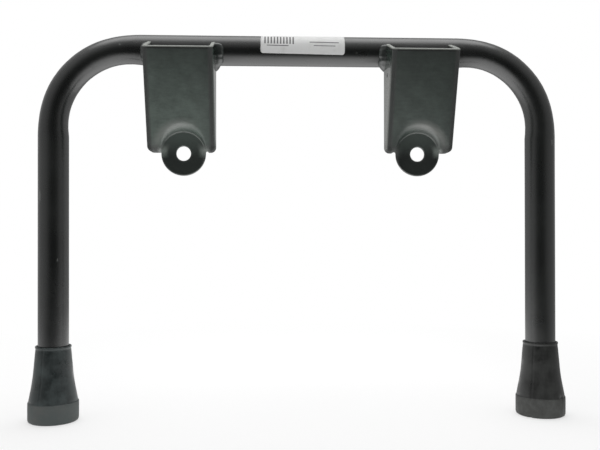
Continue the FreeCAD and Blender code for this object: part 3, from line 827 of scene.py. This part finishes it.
# Closed patches wrapped round the bar; each is (left, right, low, high, corner) in metres along its surface
def wrapped(name, patches, inside, outside):
    shape = bmesh.new()
    for patch in patches:
        inner, outer = (patchGrid(shape, patch, radius) for radius in (inside, outside))
        rows, columns = len(inner) - 1, len(inner[0]) - 1
        for grid in (inner, outer):
            for row, after in zip(grid, grid[1:]):
                for i in range(columns):
                    shape.faces.new((row[i], row[i + 1], after[i + 1], after[i]))
        for j in range(rows):
            shape.faces.new((inner[j][0], inner[j + 1][0], outer[j + 1][0], outer[j][0]))
            shape.faces.new((inner[j][-1], outer[j][-1], outer[j + 1][-1], inner[j + 1][-1]))
        for i in range(columns):
            shape.faces.new((inner[0][i], outer[0][i], outer[0][i + 1], inner[0][i + 1]))
            shape.faces.new((inner[-1][i], inner[-1][i + 1], outer[-1][i + 1], outer[-1][i]))
    return closedMesh(name, shape)


def printedBars():
    stripes = sticker["stripes"]
    bars = []
    for i in range(stripes["count"]):
        left = stripes["start"] + i * stripes["pitch"]
        bars.append((left, left + stripes["width"], *(arc(angle) for angle in stripes["angles"]), 0))
    for left, right, low, high in sticker["rules"]:
        bars.append((left * mm, right * mm, arc(low), arc(high), 0))
    return bars


def paperMaterial():
    material, shader = newMaterial("stickerPaper", {"IOR": sticker["index"]})
    where = place(material)
    stain = grain(material, where, sticker["soilSize"], detail=4.0, roughness=0.65)
    fibre = grain(material, where, sticker["fibreSize"], detail=3.0, roughness=0.7)
    colour = blendColours(material, spread(material, stain, *sticker["soil"]), sticker["paper"],
                          sticker["soiled"])
    link(material, colour, shader.inputs["Base Color"])
    link(material, spread(material, stain, *sticker["gloss"]), shader.inputs["Roughness"])
    link(material, bump(material, fibre, sticker["fibreDepth"]), shader.inputs["Normal"])
    return material


def inkMaterial():
    material, shader = newMaterial("stickerInk", {"IOR": sticker["index"], "Roughness": sticker["inkRough"]})
    patchy = grain(material, place(material), sticker["fadedSize"], detail=3.0, roughness=0.7)
    faded = tuple(c * sticker["fadedTimes"] for c in sticker["ink"][:3]) + (1,)
    colour = blendColours(material, spread(material, patchy, *sticker["fading"]), sticker["ink"], faded)
    link(material, colour, shader.inputs["Base Color"])
    return material


halfLength = sticker["length"] / 2
paperTop = tubeRadius + sticker["thickness"]
whole = (-halfLength, halfLength, arc(sticker["lowAngle"]), arc(sticker["highAngle"]), sticker["corner"])
newPiece("sticker", wrapped("sticker", [whole], tubeRadius - sticker["sunk"], paperTop), paperMaterial(),
         "label_paper", "label")
newPiece("stickerPrint", wrapped("stickerPrint", printedBars(), paperTop - sticker["inkSunk"],
                                 paperTop + sticker["inkProud"]), inkMaterial(), "label_paper")
print("sticker done")

# Studio: a white table under a softbox, in a tent that only reflections see: dark in front, grey beside, white
# behind. Each row of pairs has places from 0 to 1 and the level there
studio = {
    "tableSize": 12.0,
    "tableColour": (0.93, 0.93, 0.93, 1),
    "tableRough": 0.9,
    "tableFade": (0.26, 0.60),  # the table turns into the white background between these distances
    "nearWhite": 0.55,  # how white the table is near the stand, so that its shadow stays faint
    "roomStrength": 0.55,
    "softboxHeight": 1.1,
    "softboxBack": 0.38,
    "softboxSize": 1.4,
    "softboxPower": 8.6,
    "tentRadius": 0.62,
    "tentHeight": 1.09,
    "tentFaces": 64,
    "tentAround": ((0.0, 0.03), (0.03, 0.05), (0.086, 0.11), (0.12, 0.175), (0.20, 0.26), (0.26, 0.30),
                   (0.40, 0.35), (0.55, 0.37), (0.75, 0.50), (0.95, 0.44), (1.0, 0.38)),  # from front to back
    "tentSides": (1.10, 0.92),  # and its share at the far left and right
    "tentFade": (0.33, 1.00),  # the wall turns from its own level to the top's between these heights
    "topLevel": 0.52,
    "roofGap": 1 * mm,
    "roofAlong": ((0.0, 0.20), (0.08, 0.26), (0.18, 0.44), (0.33, 0.78), (0.48, 1.0), (0.68, 1.0), (0.82, 0.75),
                  (1.0, 0.20)),  # from front to back
    "roofLevel": 2.2,
    "rugHeight": 2 * mm,
    "rugBack": 0.60,
    "rugAlong": ((0.0, 0.016), (0.17, 0.03), (0.22, 0.055), (0.27, 0.17), (0.32, 0.31), (0.368, 0.55),
                 (0.405, 0.75), (0.47, 0.93), (0.55, 1.0), (0.738, 0.92), (0.918, 0.62),
                 (1.0, 0.48)),  # from front to back
    "rugAcross": ((0.0, 0.55), (0.30, 0.70), (0.43, 1.0), (0.64, 1.0), (0.72, 0.35),
                  (1.0, 0.35)),  # from left to right
    "rugLevel": 1.45,
}


def stagePiece(name, corners, faces, material):
    mesh = bpy.data.meshes.new(name)
    mesh.from_pydata(corners, [], faces)
    mesh.materials.append(material)
    made = bpy.data.objects.new(name, mesh)
    bpy.context.scene.collection.objects.link(made)
    return made


def stageRectangle(name, material, left, right, front, back, height):
    corners = [(left, front, height), (right, front, height), (right, back, height), (left, back, height)]
    return stagePiece(name, corners, [(0, 1, 2, 3)], material)


def onlyInReflections(piece):
    piece.visible_camera = False
    piece.visible_diffuse = False
    piece.visible_transmission = False
    piece.visible_shadow = False


# Turns a material into an evenly glowing one whose level is a socket
def glowOnly(material, level):
    tree = material.node_tree
    tree.nodes.remove(tree.nodes["Principled BSDF"])
    glow = addNode(material, "Emission", {"Color": (1, 1, 1, 1), "Strength": level})
    link(material, glow.outputs[0], tree.nodes["Material Output"].inputs["Surface"])


# Levels along a distance, each as (place between 0 and 1, level)
def levelRamp(material, where, low, high, levels):
    ramp = addNode(material, "ValToRGB", {"Fac": spread(material, where, low, high, 0.0, 1.0)})
    stops = ramp.color_ramp.elements
    for i, (spot, level) in enumerate(levels):
        stop = stops[i] if i < 2 else stops.new(spot)
        stop.position = spot
        stop.color = (level, level, level, 1)
    return ramp.outputs["Color"]


# 1 for rays that come straight from the camera, a reflection or a clear surface
def directRay(material):
    rays = addNode(material, "LightPath").outputs
    either = mathNode(material, "MAXIMUM", rays["Is Camera Ray"], rays["Is Glossy Ray"])
    return mathNode(material, "MAXIMUM", either, rays["Is Transmission Ray"])


# Real paper near the stand, so that it keeps the shadow, and plain white far off
def makeTable():
    paper, shader = newMaterial("tablePaper", {"Base Color": studio["tableColour"],
                                               "Roughness": studio["tableRough"]})
    distance = vectorNode(paper, "LENGTH", place(paper))
    fade = product(paper, spread(paper, distance, *studio["tableFade"], studio["nearWhite"], 1.0),
                   directRay(paper))
    white = addNode(paper, "Emission", {"Color": (1, 1, 1, 1), "Strength": 1.0})
    mixed = addNode(paper, "MixShader", {0: fade, 1: shader.outputs[0], 2: white.outputs[0]})
    link(paper, mixed.outputs[0], paper.node_tree.nodes["Material Output"].inputs["Surface"])
    half = studio["tableSize"] / 2
    stageRectangle("table", paper, -half, half, -half, half, 0)


def hangTent():
    cloth = newMaterial("tentCloth", {})[0]
    at = split(cloth, place(cloth))
    radius, count = studio["tentRadius"], studio["tentFaces"]
    around = levelRamp(cloth, at["Y"], -radius, radius, studio["tentAround"])
    upward = spread(cloth, at["Z"], *studio["tentFade"], 0.0, 1.0)
    level = blendColours(cloth, upward, around, (studio["topLevel"],) * 3 + (1,))
    glowOnly(cloth, product(cloth, level, spread(cloth, at["X"], -radius, radius, *studio["tentSides"])))
    turns = [2 * math.pi * i / count for i in range(count)]
    corners = [(radius * math.sin(turn), radius * math.cos(turn), height)
               for height in (0, studio["tentHeight"]) for turn in turns]
    faces = [(i, (i + 1) % count, count + (i + 1) % count, count + i) for i in range(count)]
    onlyInReflections(stagePiece("tent", corners, faces, cloth))


# The table as reflections see it: dark towards the front and the right
def layRug():
    cloth = newMaterial("rugCloth", {})[0]
    at = split(cloth, place(cloth))
    wide, back = studio["tentRadius"], studio["rugBack"]
    along = levelRamp(cloth, at["Y"], -wide, back, studio["rugAlong"])
    across = levelRamp(cloth, at["X"], -wide, wide, studio["rugAcross"])
    glowOnly(cloth, product(cloth, along, across, studio["rugLevel"]))
    onlyInReflections(stageRectangle("rug", cloth, -wide, wide, -wide, back, studio["rugHeight"]))


# The softbox as reflections see it
def hangRoof():
    cloth = newMaterial("roofCloth", {})[0]
    wide = studio["tentRadius"]
    along = levelRamp(cloth, split(cloth, place(cloth))["Y"], -wide, wide, studio["roofAlong"])
    glowOnly(cloth, product(cloth, along, studio["roofLevel"]))
    height = studio["tentHeight"] + studio["roofGap"]
    onlyInReflections(stageRectangle("roof", cloth, -wide, wide, -wide, wide, height))


makeTable()
hangTent()
layRug()
hangRoof()

softbox = bpy.data.lights.new("softbox", "AREA")
softbox.size = studio["softboxSize"]
softbox.energy = studio["softboxPower"]
softboxObject = bpy.data.objects.new("softbox", softbox)
softboxObject.location = (0, studio["softboxBack"], studio["softboxHeight"])
softboxObject.visible_glossy = False  # reflections see the tent's roof instead
bpy.context.scene.collection.objects.link(softboxObject)

room = bpy.data.worlds.new("whiteRoom")
bpy.context.scene.world = room
room.use_nodes = True
background = room.node_tree.nodes["Background"].inputs
background["Color"].default_value = (1, 1, 1, 1)
link(room, spread(room, directRay(room), 0.0, 1.0, studio["roomStrength"], 1.0), background["Strength"])

# Camera, fitted to the photograph's outline of the tube and the brackets
view = {
    "place": (-28.1 * mm, -547.5 * mm, 140.4 * mm),
    "turnRight": 2.841,  # degrees, as the next two
    "lookUp": 0.298,
    "roll": 0.076,
    "lens": 44.81,  # millimetres, as the sensor
    "sensor": 36.0,
    "clipStart": 10 * mm,
}
camera = bpy.data.cameras.new("camera")
camera.lens = view["lens"]
camera.sensor_width = view["sensor"]
camera.clip_start = view["clipStart"]
cameraObject = bpy.data.objects.new("camera", camera)
cameraObject.location = view["place"]
cameraObject.rotation_euler = (math.radians(90 + view["lookUp"]), math.radians(view["roll"]),
                               -math.radians(view["turnRight"]))
bpy.context.scene.collection.objects.link(cameraObject)
bpy.context.scene.camera = cameraObject
bpy.context.scene.view_settings.view_transform = "Standard"
print("studio and camera done")
